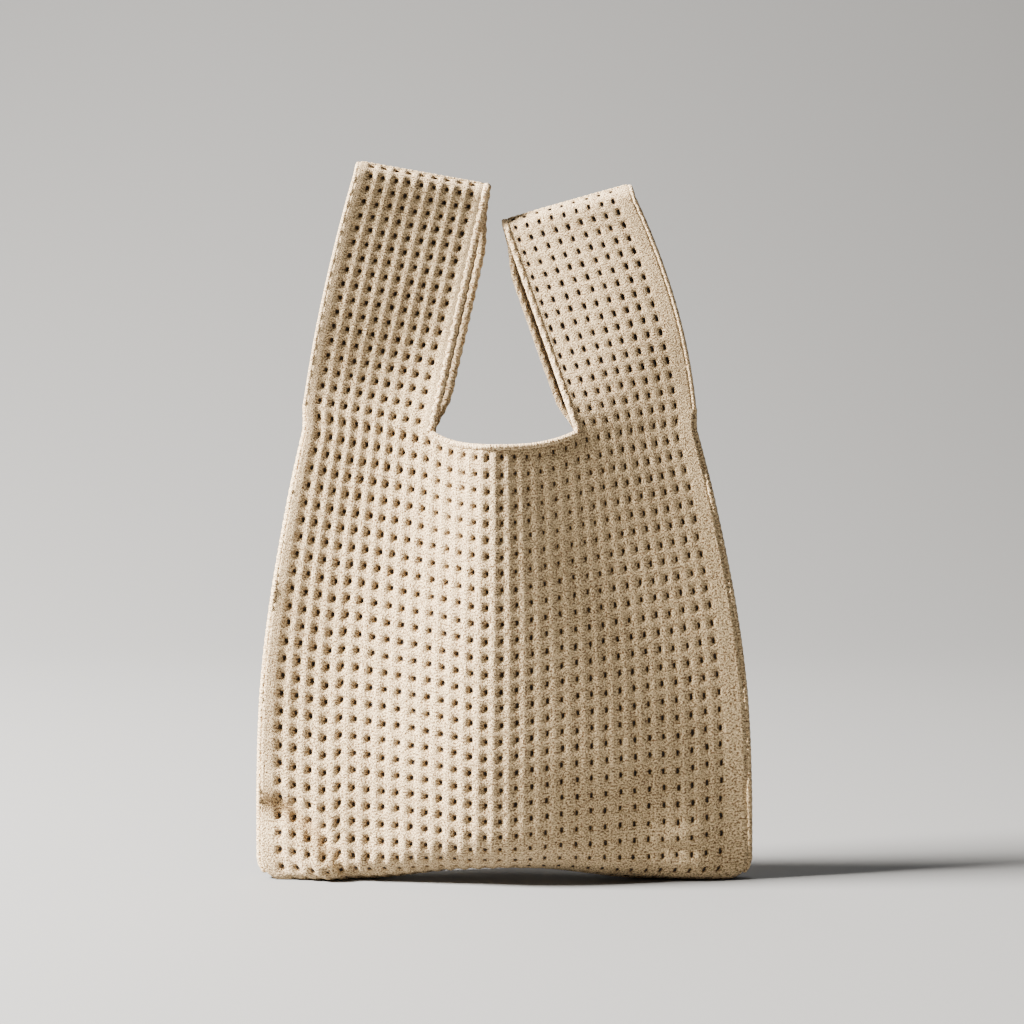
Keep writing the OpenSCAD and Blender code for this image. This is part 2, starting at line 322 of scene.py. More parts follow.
STRAP_COLUMNS = 9           # columns of eyelets in each strap
MOUTH_COLUMNS = 11          # and under the mouth; one more runs up to each of its corners
EYELET_COLUMNS = 2 * STRAP_COLUMNS + MOUTH_COLUMNS + 2
BODY_COLUMNS = [False] + [True] * EYELET_COLUMNS + [False]      # a plain column at each side seam

# Places of the column edges, from the left side seam to the right one, at the roots and at the base
ROOT_EDGES = np.concatenate([
    [-1.0],
    even_places(-126.2, -53.2, STRAP_COLUMNS, ROOT_H),
    even_places(-45.0, 43.0, MOUTH_COLUMNS, ROOT_H),
    even_places(50.0, 117.5, STRAP_COLUMNS, ROOT_H),
    [1.0],
])
BASE_EDGES = np.concatenate([[-1.0], even_places(-154.0, 148.0, EYELET_COLUMNS, 60.0), [1.0]])
RIBS = {LEFT: 0.8, RIGHT: 0.15}     # the ribs are pulled flat on the right
BODY_RIBS = lerp(RIBS[LEFT], RIBS[RIGHT], smooth((np.arange(len(BODY_COLUMNS)) - 14.0) / 5.0))


# ---- Shape of the straps ----

RISE_POINTS, CAP_POINTS = 61, 12    # of a line up a strap, and over its top
STRAP_HALF = 41.3           # half width of a strap's knit
LOOP_HALF = 9.0             # half depth of a loop at its top
FOLD_ROWS = 3               # the rows of a strap that bend
STRAP_RIB_SHARE = 0.65      # height of a strap's ribs, against those of the body beside it
LEFT_TURN = 4.5             # the left strap turns its inner edge back by this, and its outer one forward
RIGHT_CURL = 9.0            # the right strap's inner edge curls back
RIGHT_FORWARD = 2.5         # and the whole strap leans forward
BACK_SHOWS = 5.5            # how far the inner edge of a back half stands out beside the front half


class Strap:
    """Sizes of one strap. Its surface runs from left to right and from the root up over the loop."""

    def __init__(self, side, top, tilt, bows, columns, edges, rows):
        self.side = side
        self.top = np.array(top)
        self.tilt = math.radians(tilt)
        self.inner_bow, self.outer_bow = bows       # away from the centre
        self.columns = columns
        self.edges = edges          # places across the strap of the column edges, 0 inner and 1 outer
        self.rows = rows
        self.ribs = [STRAP_RIB_SHARE * RIBS[side]] * len(columns)

    def across(self):
        """Direction in x and z from the strap's inner edge to its outer one."""
        return self.side * np.array([math.cos(self.tilt), self.side * math.sin(self.tilt)])

    def along(self):
        """Direction in x and z up the strap."""
        return np.array([-self.side * math.sin(self.tilt), math.cos(self.tilt)])


def shoulder_middle(name):
    """Middle of a shoulder seam in the frame, as x and z."""
    low, high = box_mm(name)
    return (low[0] + high[0]) / 2, (low[2] + high[2]) / 2


def strap_lines(strap, side, k):
    """For each place k across the strap, a line from its root, up one half, to the top of the loop."""
    k = k[:, None]
    t = np.linspace(0, 1, RISE_POINTS)[None, :]
    turn = strap.top[None, None, :] + strap.across() * lerp(-STRAP_HALF, STRAP_HALF, k)[..., None]
    turn = turn - strap.along() * LOOP_HALF
    x0, depth0, z0 = root_point(lerp(root_s(strap.side * MOUTH_HALF), strap.side, k), side)
    x = lerp(x0, turn[..., 0], t)
    z = lerp(z0, turn[..., 1], t)
    x = x + strap.side * lerp(strap.inner_bow, strap.outer_bow, k) * 4 * t * (1 - t)
    depth = lerp(depth0, LOOP_HALF, smooth(t))
    a = np.linspace(0, math.pi / 2, CAP_POINTS + 1)[None, 1:]
    cap = turn + strap.along() * (LOOP_HALF * np.sin(a))[..., None]
    x = np.concatenate([x, cap[..., 0]], axis=1)
    z = np.concatenate([z, cap[..., 1]], axis=1)
    depth = np.concatenate([depth, LOOP_HALF * np.cos(a) + 0 * k], axis=1)
    rise = np.concatenate([t, 1 + 0 * a], axis=1)
    lean = smooth(rise / 0.45)
    if strap.side == LEFT:
        shift = LEFT_TURN * (1 - 2 * k) * lean
    else:
        shift = (RIGHT_CURL * (1 - k) ** 2 - RIGHT_FORWARD) * lean
    if side == BACK:
        loose = smooth(rise / 0.16) * smooth((1 - rise) / 0.25)
        x = x - strap.side * BACK_SHOWS * (1 - k) ** 2 * loose
    wave = 0.5 * np.sin(z / 19.0 + 2.5 * k + side) * smooth(rise / 0.2) * smooth((1 - rise) / 0.1)
    return np.stack([x, side * (depth + wave) + shift, z], axis=2)


def strap_places(edges, side):
    """Column edges of the body as places across a strap, 0 at its inner edge and 1 at its outer one."""
    inner = root_s(side * MOUTH_HALF)
    return (edges - inner) / (side - inner)


def strap_surface(strap, side):
    """One half of a strap, front or back, as a surface."""
    count = len(strap.columns)
    u = np.arange(count * FINE + 1) / FINE
    k = np.interp(u, np.arange(count + 1), strap.edges)
    return surface(resampled(strap_lines(strap, side, k), strap.rows * FINE + 1, ease=0.09), side)


LEFT_TOP = shoulder_middle("left_shoulder_seam")
RIGHT_TOP = shoulder_middle("right_shoulder_seam")
LEFT_PLACES = np.append(strap_places(ROOT_EDGES[:STRAP_COLUMNS + 2], LEFT), 0.0)
RIGHT_PLACES = np.append(0.0, strap_places(ROOT_EDGES[-STRAP_COLUMNS - 1:], RIGHT))
LEFT_COLUMNS = [False] + [True] * STRAP_COLUMNS + [False]
RIGHT_COLUMNS = [True] * STRAP_COLUMNS + [False]
STRAPS = {
    LEFT: Strap(
        LEFT, LEFT_TOP, tilt=9.6, bows=(0.0, 2.5), columns=LEFT_COLUMNS, edges=LEFT_PLACES, rows=18
    ),
    RIGHT: Strap(
        RIGHT, RIGHT_TOP, tilt=15.4, bows=(0.0, 6.5), columns=RIGHT_COLUMNS, edges=RIGHT_PLACES, rows=17
    ),
}


# ---- Meshes ----

def make_object(name, points, faces, uv, smooth_count=None, cavity_shade=None):
    """An object from points in millimetres. Faces after smooth_count, such as a sheet's rim, are flat.

    The shade given here is painted shade on the yarn's colour: 1 deep in an eyelet and 0 on the face,
    where the yarn would be shaded by its neighbours.
    """
    mesh = bpy.data.meshes.new(name)
    mesh.from_pydata((np.asarray(points) * MM).tolist(), [], faces)
    layer = mesh.uv_layers.new(name="knit")
    loops = np.empty(len(mesh.loops), dtype=np.int32)
    mesh.loops.foreach_get("vertex_index", loops)
    layer.data.foreach_set("uv", np.asarray(uv, dtype=np.float32)[loops].ravel())
    flags = np.ones(len(mesh.polygons), dtype=bool)
    flags[smooth_count:] = smooth_count is None
    mesh.polygons.foreach_set("use_smooth", flags)
    # painted shade, kept on the mesh for the material to darken the yarn
    if cavity_shade is not None:
        shade = mesh.attributes.new("cavity_shade", "FLOAT", "POINT")
        shade.data.foreach_set("value", np.asarray(cavity_shade, dtype=np.float32))
    mesh.update()
    obj = bpy.data.objects.new(name, mesh)
    bpy.context.scene.collection.objects.link(obj)
    return obj


STEPS = 4                   # lattice steps along each side of a cell
RING = 4 * STEPS            # points of a ring round an eyelet
PERIMETER = np.array(
    [[i, 0] for i in range(STEPS)] + [[STEPS, i] for i in range(STEPS)]
    + [[STEPS - i, STEPS] for i in range(STEPS)] + [[0, STEPS - i] for i in range(STEPS)]
)
UNIT = PERIMETER / STEPS
FACE_RINGS = (0.0, 0.2, 0.52)       # places of the rings between an eyelet, 0, and its cell's edge, 1
BACK_RINGS = (0.0, 0.5)
SLANT = np.array([0.19, 0.17])      # how far right and up an eyelet moves through the cloth, in cells


def relief(u, v, columns, ribs):
    """Height of the knit's face, and painted shade that grows the deeper a place lies in a furrow: ribs
    between the columns of eyelets.
    """
    column = np.clip(u.astype(int), 0, len(columns) - 1)
    eyelets = np.array(columns)[column]
    ribbed = np.interp(u, np.arange(len(ribs)) + 0.5, ribs)
    rib = np.where(eyelets, (0.5 + 0.5 * np.cos(2 * math.pi * u)) ** 0.7, 1.0)
    bead = 0.5 - 0.5 * np.cos(2 * math.pi * v)
    across, up = u - column, v - np.floor(v)
    groove = np.where(eyelets, bump(across, 0.34, 0.16) * bump(up, 0.34, 0.22), 0.0)
    height = RIB_H * ribbed * (rib * (0.64 + 0.36 * bead) - 0.4) - GROOVE * groove * ribbed
    # the second value is painted shade in the furrows and under the crossing yarns
    return height, 0.10 * ribbed * (1 - rib) + 0.18 * ribbed * groove


def back_height(height):
    """Height of the back of the cloth behind a place of its face, whose ribs show there weakly."""
    return -FABRIC_T + 0.25 * (height + 0.3)


def openness(middle, half):
    """Width and height of eyelets: rounder on the left, slots on the right, small under the mouth."""
    x, z = middle[:, 0], middle[:, 2]
    right = smooth((x + 10.0) / 40.0)
    wide = lerp(1.7, 1.3, right)
    high = lerp(2.2, 3.1, right)
    if half == BACK:
        return 0.5 * wide, 0.5 * high
    in_strap = 1 + lerp(0.2, 0.5, right) * smooth((z - 300.0) / 50.0)
    wide = wide * in_strap
    high = high * in_strap
    faint_right = bump(x, 36.0, 42.0) * bump(z, 236.0, 55.0) * 0.5
    faint_left = bump(x, -36.0, 22.0) * bump(z, 245.0, 60.0) * 0.45
    faint = faint_right + faint_left
    return wide * (1 - faint), high * (1 - 0.8 * faint)


def eyelet_rims(points, corner, side, rng):
    """The ring of points round each eyelet, in its own cell."""
    middle = bilinear(points, (corner[:, 0] + 0.5) * FINE, (corner[:, 1] + 0.5) * FINE)
    open_w, open_h = openness(middle, side)
    size = rng.uniform(0.88, 1.1, len(corner))
    centre = 0.5 + rng.uniform(-0.05, 0.05, (len(corner), 2))
    radius = np.stack([open_w / 2 / CELL_W * size, open_h / 2 / CELL_H * size], axis=1)
    angle = np.arctan2((UNIT[:, 1] - 0.5) * CELL_H, (UNIT[:, 0] - 0.5) * CELL_W)
    circle = np.stack([np.cos(angle), np.sin(angle)], axis=1)
    return centre[:, None, :] + radius[:, None, :] * circle[None, :, :]


def strips(outer, inner):
    """Quads between two rings, facing the way the outer ring turns."""
    following = np.roll(np.arange(RING), -1)
    return np.stack([outer, outer[:, following], inner[:, following], inner], axis=2).reshape(-1, 4)


def plain_quads(columns, height):
    """Quads over the columns that have no eyelets, in a lattice of the given height."""
    plain = np.repeat(~np.array(columns), STEPS)
    i, j = np.meshgrid(np.flatnonzero(plain), np.arange(height - 1), indexing="ij")
    corner = (i * height + j).ravel()
    return np.stack([corner, corner + height, corner + height + 1, corner + 1], axis=1)


def rim_quads(width, height):
    """Quads that join the face's lattice to the back's, all round the sheet."""
    loop = np.concatenate([
        np.arange(width - 1) * height,
        (width - 1) * height + np.arange(height - 1),
        np.arange(width - 1, 0, -1) * height + height - 1,
        np.arange(height - 1, 0, -1),
    ])
    following = np.roll(loop, -1)
    back = width * height
    return np.stack([loop, loop + back, following + back, following], axis=1)


def knit_sheet(name, surf, columns, ribs, first_row, last_row, side, seed):
    """A closed sheet of eyelet knit over part of a surface.

    Its face and its back share one lattice of places. Each eyelet is a tunnel of rings, from its
    cell's edge on the face, through the cloth, to the same edge on the back.
    """
    points, normals = surf
    rng = np.random.default_rng(seed)
    rows = last_row - first_row
    width, height = STEPS * len(columns) + 1, STEPS * rows + 1
    i, j = np.meshgrid(np.arange(width), np.arange(height), indexing="ij")
    lattice = np.stack([i.ravel() / STEPS, first_row + j.ravel() / STEPS], axis=1)
    lattice_n = width * height

    a, b = np.meshgrid(np.flatnonzero(columns), np.arange(rows), indexing="ij")
    a, b = a.ravel(), b.ravel()
    corner = np.stack([a, b + first_row], axis=1).astype(float)
    edge_i = STEPS * a[:, None] + PERIMETER[None, :, 0]
    edge_j = STEPS * b[:, None] + PERIMETER[None, :, 1]
    around = edge_i * height + edge_j
    rim = eyelet_rims(points, corner, side, rng)
    ribbed = np.clip(np.array(ribs)[a] / 0.6, 0, 1)
    deep = FUNNEL * rng.uniform(0.85, 1.1, len(a)) * lerp(0.25, 1.0, ribbed)

    face_height, furrow = relief(lattice[:, 0], lattice[:, 1], columns, ribs)
    uv = [lattice, lattice]
    lift = [face_height, back_height(face_height)]
    # painted shade: in the furrows of the face, and over the whole hidden back
    cavity_shade = [furrow, np.full(lattice_n, INSIDE_SHADE)]
    rings = {"face": [around], "back": [around + lattice_n]}    # from the cell's edge to the eyelet
    count = 2 * lattice_n
    for layer, places in (("face", FACE_RINGS), ("back", BACK_RINGS)):
        for w in places:
            slant = (1 - w) * SLANT if layer == "back" else 0.0
            flat = (corner[:, None, :] + lerp(rim, UNIT[None, :, :], w) + slant).reshape(-1, 2)
            h, furrow = relief(flat[:, 0], flat[:, 1], columns, ribs)
            if layer == "face":
                h = h - np.repeat(deep, RING) * (1 - w) ** 3.0
                # painted shade growing down into the eyelet, and in the furrows
                dark = np.clip((1 - w) ** 12.0 + furrow, 0, 1)
            else:
                h = back_height(h) + 0.25 * (1 - w)
                # painted shade through the eyelet's tunnel and on the hidden back
                dark = np.full(len(flat), max(INSIDE_SHADE, 1 - w))
            uv.append(flat)
            lift.append(h)
            cavity_shade.append(dark)
            rings[layer].insert(1, count + np.arange(len(flat)).reshape(-1, RING))
            count += len(flat)
    uv = np.concatenate(uv)
    lift = np.concatenate(lift)
    cavity_shade = np.concatenate(cavity_shade)

    faces = [strips(p, q) for p, q in zip(rings["face"], rings["face"][1:])]
    faces += [strips(p, q)[:, ::-1] for p, q in zip(rings["back"], rings["back"][1:])]
    faces.append(strips(rings["face"][-1], rings["back"][-1]))
    plain = plain_quads(columns, height)
    faces += [plain, plain[:, ::-1] + lattice_n]
    smooth_count = sum(len(part) for part in faces)
    faces.append(rim_quads(width, height))
    faces = np.concatenate(faces)
    if side == BACK:
        faces = faces[:, ::-1]

    used, faces = np.unique(faces, return_inverse=True)
    faces = faces.reshape(-1, 4)
    uv, lift, cavity_shade = uv[used], lift[used], cavity_shade[used]
    where = bilinear(points, uv[:, 0] * FINE, uv[:, 1] * FINE)
    out = bilinear(normals, uv[:, 0] * FINE, uv[:, 1] * FINE)
    out /= np.linalg.norm(out, axis=1, keepdims=True)
    where = where + out * lift[:, None]
    # painted shade in the low fold of the front panel
    cavity_shade = np.maximum(cavity_shade, fold_shade(where))
    on_border = np.flatnonzero((uv[:, 1] == first_row) | (uv[:, 1] == last_row))
    uv = uv * [CELL_W * MM, CELL_H * MM]
    obj = make_object(name, where, faces.tolist(), uv, smooth_count, cavity_shade)
    note_border(obj, where, faces[:smooth_count], on_border)
    return obj


BORDERS = []                # of every sheet: object, vertices on its first and last row, places, normals


def note_border(obj, points, faces, ids):
    """Keep the places and normals of a sheet's border vertices for join_borders."""
    a, b, c, d = (points[faces[:, i]] for i in range(4))
    of_face = np.cross(c - a, d - b)
    of_face /= np.maximum(np.linalg.norm(of_face, axis=1, keepdims=True), 1e-9)
    normals = np.zeros_like(points)
    for i in range(4):
        np.add.at(normals, faces[:, i], of_face)
    normals = normals[ids] / np.maximum(np.linalg.norm(normals[ids], axis=1, keepdims=True), 1e-9)
    BORDERS.append((obj, ids, points[ids], normals))


def join_borders(reach=1.2):
    """Give vertices of neighbouring sheets that meet one shared normal, so that no line shows there."""
    for obj, ids, points, normals in BORDERS:
        shared = normals.copy()
        for other, _, places, directions in BORDERS:
            if other is obj:
                continue
            gap = np.linalg.norm(points[:, None, :] - places[None, :, :], axis=2)
            gap[normals @ directions.T < 0.5] = 1e9
            nearest = gap.argmin(axis=1)
            near = gap.min(axis=1) < reach
            shared[near] += directions[nearest[near]]
        changed = np.linalg.norm(shared, axis=1) > 1.01
        custom = np.zeros((len(obj.data.vertices), 3))
        custom[ids[changed]] = shared[changed] / np.linalg.norm(shared[changed], axis=1, keepdims=True)
        obj.data.normals_split_custom_set_from_vertices(custom.tolist())


def spaced(path, step):
    """A path given again as points a step apart."""
    path = np.asarray(path, dtype=float)
    length = np.concatenate([[0], np.cumsum(np.linalg.norm(np.diff(path, axis=0), axis=1))])
    count = max(4, int(length[-1] / step))
    at = np.linspace(0, length[-1], count + 1)
    return np.stack([np.interp(at, length, path[:, axis]) for axis in range(3)], axis=1), at


def edging(
    name, path, wide, thick, wide_axis,
    lobes=3, pitch=8.0, twist=0.1, knots=0.0, sides=16, ends=1.0, slim=1.0,
):
    """A closed cord along a path, wide along wide_axis and thick across it, with a twisted surface.

    Its twist is made of as many ridges as lobes, and one of them passes every pitch mm. The cord
    swells by knots just as often. The heights twist and knots are shares of the cord's radius. Its ends
    are rounded where ends is 1 and cut square where it is 0, and over its last 60 mm it shrinks to
    slim times its size.
    """
    path, at = spaced(path, 1.1)
    along = np.gradient(path, axis=0)
    along /= np.linalg.norm(along, axis=1, keepdims=True)
    across = np.asarray(wide_axis, dtype=float)[None, :] + 0 * along
    across = across - along * np.sum(across * along, axis=1, keepdims=True)
    across /= np.linalg.norm(across, axis=1, keepdims=True)
    up = np.cross(along, across)
    angle = np.linspace(0, 2 * math.pi, sides, endpoint=False)
    twisted = 1 + twist * np.cos(lobes * angle[None, :] - 2 * math.pi * at[:, None] / pitch)
    knotted = 1 + knots * np.cos(2 * math.pi * at[:, None] / pitch)
    close = np.minimum(np.minimum(at, at[-1] - at) / 1.6, 1.0)[:, None]
    close = lerp(1.0, np.sqrt(np.maximum(0.0, 1 - (1 - close) ** 2) + 0.04), ends)
    close = np.minimum(close, 1.0)
    r = twisted * knotted * close * lerp(1.0, slim, smooth((at - at[-1] + 60.0) / 60.0))[:, None]
    ring = (
        path[:, None, :]
        + across[:, None, :] * (wide * r * np.cos(angle))[..., None]
        + up[:, None, :] * (thick * r * np.sin(angle))[..., None]
    )
    n = len(path)
    ids = np.arange(n * sides).reshape(n, sides)
    following = np.roll(ids, -1, axis=1)
    tube = np.stack([ids[:-1], following[:-1], following[1:], ids[1:]], axis=2).reshape(-1, 4)
    start, end = n * sides, n * sides + 1
    caps = [[start, following[0, i], ids[0, i]] for i in range(sides)]
    caps += [[end, ids[-1, i], following[-1, i]] for i in range(sides)]
    points = np.concatenate([ring.reshape(-1, 3), path[:1], path[-1:]])
    uv = np.stack([np.tile(angle / (2 * math.pi), n) * 12 * MM, np.repeat(at, sides) * MM], axis=1)
    uv = np.concatenate([uv, [[0, 0]], [[0, at[-1] * MM]]])
    return make_object(name, points, tube.tolist() + caps, uv)


# ---- Materials ----

DARK, LIGHT = (0.17, 0.082, 0.028), (0.90, 0.67, 0.37)              # colours of the speckled yarn
CORD_DARK, CORD_LIGHT = (0.24, 0.125, 0.05), (0.91, 0.69, 0.40)     # and of the edgings
SHADED = (0.46, 0.37, 0.24)         # painted shade on the yarn in a furrow
DEEP_SHADE = (0.035, 0.022, 0.015)      # and the near-black painted shade deep in an eyelet
GRAIN = 820.0               # scale of the fine speckle
COARSER = 3.5               # how many times larger the coarse speckle is
BROAD = 38.0                # scale of the faint patches


def fabric(name, dark, light, stitch_w, stitch_h, bump_distance):
    """Undyed cotton: speckled yarn, rows of small stitches and a soft sheen, with painted shade in its
    furrows, folds and eyelets.
    """
    mat = bpy.data.materials.new(name)
    mat.use_nodes = True
    nodes, links = mat.node_tree.nodes, mat.node_tree.links
    shader = nodes["Principled BSDF"]
    shader.inputs["Roughness"].default_value = 0.92
    shader.inputs["Specular IOR Level"].default_value = 0.15
    shader.inputs["Sheen Weight"].default_value = 0.15
    shader.inputs["Sheen Roughness"].default_value = 0.6
    shader.inputs["Sheen Tint"].default_value = (1.0, 0.93, 0.82, 1.0)
    uv = nodes.new("ShaderNodeUVMap")
    uv.uv_map = "knit"
    split = nodes.new("ShaderNodeSeparateXYZ")
    links.new(uv.outputs["UV"], split.inputs[0])

    def math_node(kind, a, b=None):
        node = nodes.new("ShaderNodeMath")
        node.operation = kind
        for socket, value in ((node.inputs[0], a), (node.inputs[1], b)):
            if value is None:
                continue
            if isinstance(value, (int, float)):
                socket.default_value = value
            else:
                links.new(value, socket)
        return node.outputs[0]

    def noise(scale, detail, rough=0.6):
        node = nodes.new("ShaderNodeTexNoise")
        node.inputs["Scale"].default_value = scale
        node.inputs["Detail"].default_value = detail
        node.inputs["Roughness"].default_value = rough
        links.new(uv.outputs["UV"], node.inputs["Vector"])
        return node.outputs[0]

    def mixed(*parts):
        """The sum of several outputs, each times its own weight."""
        total = None
        for output, weight in parts:
            term = math_node("MULTIPLY", output, weight)
            total = term if total is None else math_node("ADD", total, term)
        return total

    zigzag = math_node("PINGPONG", split.outputs[0], stitch_w)
    slope = math_node("MULTIPLY", zigzag, 2 * math.pi * 0.5 / stitch_w)
    turn = math_node("MULTIPLY", split.outputs[1], 2 * math.pi / stitch_h)
    loops = math_node("SINE", math_node("ADD", slope, turn))
    fine = noise(GRAIN, 2.0, 0.7)
    coarse = noise(GRAIN / COARSER, 2.0)
    broad = noise(BROAD, 2.0)

    ramp = nodes.new("ShaderNodeValToRGB")
    ramp.color_ramp.elements[0].position = 0.395
    ramp.color_ramp.elements[0].color = (*dark, 1)
    ramp.color_ramp.elements[1].position = 0.56
    ramp.color_ramp.elements[1].color = (*light, 1)
    links.new(mixed((fine, 0.84), (coarse, 0.10), (broad, 0.05), (loops, 0.008)), ramp.inputs[0])
    # painted shade: the shade attribute darkens the yarn towards SHADED and then near black
    hollow = nodes.new("ShaderNodeAttribute")
    hollow.attribute_name = "cavity_shade"
    shade_ramp = nodes.new("ShaderNodeValToRGB")
    shade_ramp.color_ramp.elements[0].color = (1, 1, 1, 1)
    shade_ramp.color_ramp.elements[1].color = (*DEEP_SHADE, 1)
    shade_ramp.color_ramp.elements.new(0.5).color = (*SHADED, 1)
    links.new(hollow.outputs["Fac"], shade_ramp.inputs[0])
    shaded = nodes.new("ShaderNodeMix")
    shaded.data_type = "RGBA"
    shaded.blend_type = "MULTIPLY"
    shaded.inputs["Factor"].default_value = 1.0
    links.new(ramp.outputs[0], shaded.inputs[6])
    links.new(shade_ramp.outputs[0], shaded.inputs[7])
    links.new(shaded.outputs[2], shader.inputs["Base Color"])

    height = mixed((fine, 1.5), (coarse, 0.5), (loops, 0.07))
    bump_node = nodes.new("ShaderNodeBump")
    bump_node.inputs["Strength"].default_value = 1.0
    bump_node.inputs["Distance"].default_value = bump_distance
    links.new(height, bump_node.inputs["Height"])
    links.new(bump_node.outputs[0], shader.inputs["Normal"])
    return mat


MATERIALS = {
    "mesh_knit": fabric("mesh_knit", DARK, LIGHT, 0.0024, 0.0022, 0.0017),
    "plain_knit": fabric("plain_knit", DARK, LIGHT, 0.0020, 0.0020, 0.0015),
    "edging_cord": fabric("edging_cord", CORD_DARK, CORD_LIGHT, 0.0016, 0.0018, 0.0012),
}


def finish_piece(obj, slot, nodes, body=None):
    """Give a piece the material of its slot, hide the CAD nodes it stands for, and attach it to its
    body.

    A piece of a strap's fold is given no body; its place is baked into its mesh.
    """
    obj.data.materials.append(MATERIALS[slot])
    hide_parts(*nodes)
    if body:
        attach(obj, body)
    else:
        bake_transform(obj)


# ---- Build the body ----

def build_panel(side):
    """The knit of one panel, and the rolled edging of its mouth."""
    panel = knit_sheet(
        HALF[side] + "_panel_knit", body_surface(side, BASE_EDGES, ROOT_EDGES), BODY_COLUMNS, BODY_RIBS,
        0, BODY_ROWS, side, 11 + side,
    )
    finish_piece(panel, "mesh_knit", [HALF[side] + "_panel"], body="bag_body")

    x = np.linspace(1.6 - MOUTH_HALF, MOUTH_HALF - 1.6, 80)
    x, top, z = root_point(root_s(x), side)
    path = np.stack([x, side * (top - 1.0), z + 0.9], axis=1)
    roll = edging(
        HALF[side] + "_mouth_edging_roll", path, 2.1, 2.0, (0, 1, 0),
        lobes=2, pitch=5.0, twist=0.03, knots=0.04,
    )
    finish_piece(roll, "edging_cord", [HALF[side] + "_mouth_edging"], body="bag_body")


def build_side_seam(side):
    """The plain knitted band up one side, from the rounded lower corner to the strap."""
    top = top_edge(-SHOULDER_SHIFT + side * SHOULDER_HALF, FRONT) + 1.6
    z = np.concatenate([np.linspace(4.6, CORNER_R, 14), np.linspace(CORNER_R + 3, top, 90)])
    x = middle_x(z) + side * (half_width(z) + 0.5)
    wobble = 0.35 * np.sin(z / 11.0) + 0.3 * np.sin(z / 5.3)
    seam = edging(
        NAME[side] + "_side_band", np.stack([x, wobble, z], axis=1), 2.7, EDGE_HALF - 0.1, (1, 0, 0),
        lobes=4, pitch=5.6, twist=0.025, knots=0.03, sides=20, ends=0.5, slim=0.86,
    )
    finish_piece(seam, "plain_knit", [NAME[side] + "_side_seam"], body="bag_body")


def build_base_seam():
    """The link that joins both panels under the bag, raised in the arch and at its ends."""
    x = np.linspace(-146.0, 146.0, 120)
    corner_rise = 2.2 * smooth((np.abs(x) - 134) / 14)
    path = np.stack([x, 0 * x, arch(x / BASE_HALF) + 1.5 + corner_rise], axis=1)
    base = edging("base_seam_link", path, 3.2, 1.35, (0, 1, 0), lobes=4, pitch=4.4, twist=0.05)
    finish_piece(base, "plain_knit", ["base_seam"], body="bag_body")


for side in (FRONT, BACK):
    build_panel(side)
for side in (LEFT, RIGHT):
    build_side_seam(side)
build_base_seam()


# ---- Build the straps ----

OUTER_CORD = dict(wide=1.7, thick=1.6, lobes=3, pitch=7.0, twist=0.03, knots=0.02)
CORDS = {
    (LEFT, INNER): dict(wide=2.8, thick=2.1, lobes=2, pitch=7.5, twist=0.07, knots=0.05),
    (RIGHT, INNER): dict(wide=2.3, thick=2.0, lobes=3, pitch=9.0, twist=0.10, knots=0.05),
    (LEFT, OUTER): OUTER_CORD,
    (RIGHT, OUTER): OUTER_CORD,
}
CORD_OUTSIDE = {INNER: 1.5, OUTER: 0.6}     # how far a cord lies outside the edge of the knit


def edge_path(surf, column, side_shift, first, last):
    """Points along one edge of a strap surface, inside the cloth and moved sideways."""
    points, normals = surf
    line = points[column, first * FINE:last * FINE + 1]
    inward = normals[column, first * FINE:last * FINE + 1]
    moved = line - inward * (FABRIC_T * 0.55)
    moved[:, 0] += side_shift
    return moved


def build_strap_knit(strap, surfaces):
    """Both halves of a strap's knit, each as a stretch that bends and the loop above it."""
    side, name = strap.side, NAME[strap.side]
    for half in (FRONT, BACK):
        piece = knit_sheet(
            name + "_fold_" + HALF[half] + "_knit", surfaces[half], strap.columns, strap.ribs,
            0, FOLD_ROWS, half, 31 + side + 5 * half,
        )
        finish_piece(piece, "mesh_knit", [name + "_strap_fold"])
        piece = knit_sheet(
            name + "_strap_" + HALF[half] + "_knit", surfaces[half], strap.columns, strap.ribs,
            FOLD_ROWS, strap.rows, half, 51 + side + 5 * half,
        )
        finish_piece(piece, "mesh_knit", [name + "_strap_" + HALF[half]], body=name + "_handle")


def build_strap_edging(strap, surfaces, place):
    """The cord on one edge of a strap: up the front, over the loop and down the back."""
    side, name = strap.side, NAME[strap.side]
    leftmost = (side == LEFT) == (place == OUTER)
    column = 0 if leftmost else -1
    shift = CORD_OUTSIDE[place] * (-1 if leftmost else 1)
    style = dict(wide_axis=(1, 0, 0), ends=0.0, **CORDS[side, place])
    halves = []
    for half in (FRONT, BACK):
        low = edge_path(surfaces[half], column, shift, 0, FOLD_ROWS)
        stretch = edging(name + "_fold_" + HALF[half] + "_" + place + "_edging", low, **style)
        finish_piece(stretch, "edging_cord", [name + "_strap_fold"])
        halves.append(edge_path(surfaces[half], column, shift, FOLD_ROWS, strap.rows))
    path = np.concatenate([halves[0], halves[1][::-1][1:]])
    loop = edging(name + "_strap_" + place + "_cord", path, **style)
    finish_piece(loop, "edging_cord", [name + "_strap_" + place + "_edging"], body=name + "_handle")


def build_shoulder_link(strap, surfaces):
    """The seam over the top of the loop, where the strap's two halves meet."""
    name = NAME[strap.side]
    points, normals = surfaces[FRONT]
    path = points[:, -1] + normals[:, -1] * -0.3
    link = edging(
        name + "_shoulder_link", path, 1.5, 1.3, (0, 1, 0), lobes=3, pitch=4.2, twist=0.08, knots=0.06
    )
    finish_piece(link, "plain_knit", [name + "_shoulder_seam"], body=name + "_handle")


for side, strap in STRAPS.items():
    surfaces = {half: strap_surface(strap, half) for half in (FRONT, BACK)}
    build_strap_knit(strap, surfaces)
    for place in (INNER, OUTER):
        build_strap_edging(strap, surfaces, place)
    build_shoulder_link(strap, surfaces)

join_borders()


# ---- Floor, light and camera ----

ARC_STEPS = 32              # of the floor's curve up into the wall


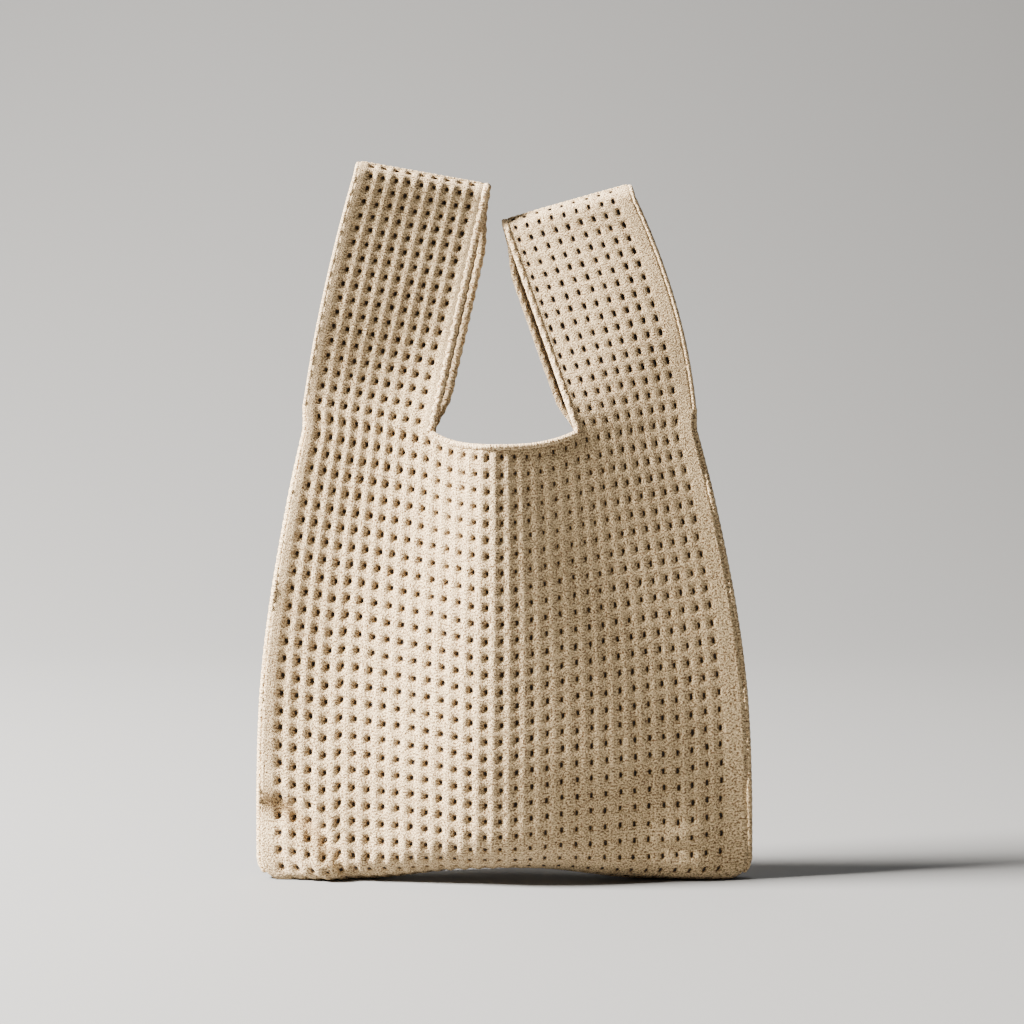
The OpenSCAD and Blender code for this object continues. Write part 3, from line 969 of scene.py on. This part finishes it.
def backdrop():
    """A pale floor that curves up into a wall well behind the bag."""
    floor_front, floor_back, radius, wall_top, half = -4.0, 1.2, 2.4, 5.0, 6.0
    profile = [(floor_front, 0.0), (floor_back, 0.0)]
    for i in range(1, ARC_STEPS + 1):
        a = math.pi / 2 * i / ARC_STEPS
        profile.append((floor_back + radius * math.sin(a), radius * (1 - math.cos(a))))
    profile.append((floor_back + radius, wall_top))
    verts = [(x, y, z) for x in (-half, half) for y, z in profile]
    n = len(profile)
    faces = [(i, n + i, n + i + 1, i + 1) for i in range(n - 1)]
    mesh = bpy.data.meshes.new("floor")
    mesh.from_pydata(verts, [], faces)
    mesh.polygons.foreach_set("use_smooth", np.ones(len(mesh.polygons), dtype=bool))
    obj = bpy.data.objects.new("floor", mesh)
    bpy.context.scene.collection.objects.link(obj)
    mat = bpy.data.materials.new("floor")
    mat.use_nodes = True
    shader = mat.node_tree.nodes["Principled BSDF"]
    shader.inputs["Base Color"].default_value = (0.163, 0.162, 0.159, 1)
    shader.inputs["Roughness"].default_value = 0.85
    obj.data.materials.append(mat)


def area_light(name, azimuth, elevation, distance, size, power, colour):
    """An area light aimed at the bag; azimuth 0 is in front and 90 on the left."""
    a, e = math.radians(azimuth), math.radians(elevation)
    bag_middle = np.array([0.0, 0.0, 0.24])
    away = np.array([-math.sin(a) * math.cos(e), -math.cos(a) * math.cos(e), math.sin(e)])
    data = bpy.data.lights.new(name, "AREA")
    data.shape = "DISK"
    data.size = size
    data.energy = power
    data.color = colour
    obj = bpy.data.objects.new(name, data)
    obj.location = bag_middle + away * distance
    obj.rotation_mode = "QUATERNION"
    obj.rotation_quaternion = Vector(-away).to_track_quat("-Z", "Y")
    bpy.context.scene.collection.objects.link(obj)


backdrop()
area_light("key", 81, 32, 3.0, 0.8, 1400.0, (1.0, 0.97, 0.93))
area_light("front_fill", 25, 25, 4.0, 2.5, 2.0, (1.0, 0.97, 0.92))
area_light("back_fill", 165, 58, 2.6, 1.8, 30.0, (1.0, 1.0, 1.0))
world = bpy.data.worlds.new("studio")
world.use_nodes = True
world.node_tree.nodes["Background"].inputs["Color"].default_value = (0.92, 0.96, 1.0, 1)
world.node_tree.nodes["Background"].inputs["Strength"].default_value = 0.058
bpy.context.scene.world = world

CAMERA_DISTANCE = 1.547
CAMERA_TILT = math.radians(3.6)
AIM = (0.005, 0.0, 0.2455)
camera_data = bpy.data.cameras.new("camera")
camera_data.lens = 82.0
camera_data.sensor_width = 36.0
camera = bpy.data.objects.new("camera", camera_data)
camera.location = (
    AIM[0],
    AIM[1] - CAMERA_DISTANCE * math.cos(CAMERA_TILT),
    AIM[2] + CAMERA_DISTANCE * math.sin(CAMERA_TILT),
)
camera.rotation_euler = (math.pi / 2 - CAMERA_TILT, 0, 0)
bpy.context.scene.collection.objects.link(camera)
bpy.context.scene.camera = camera
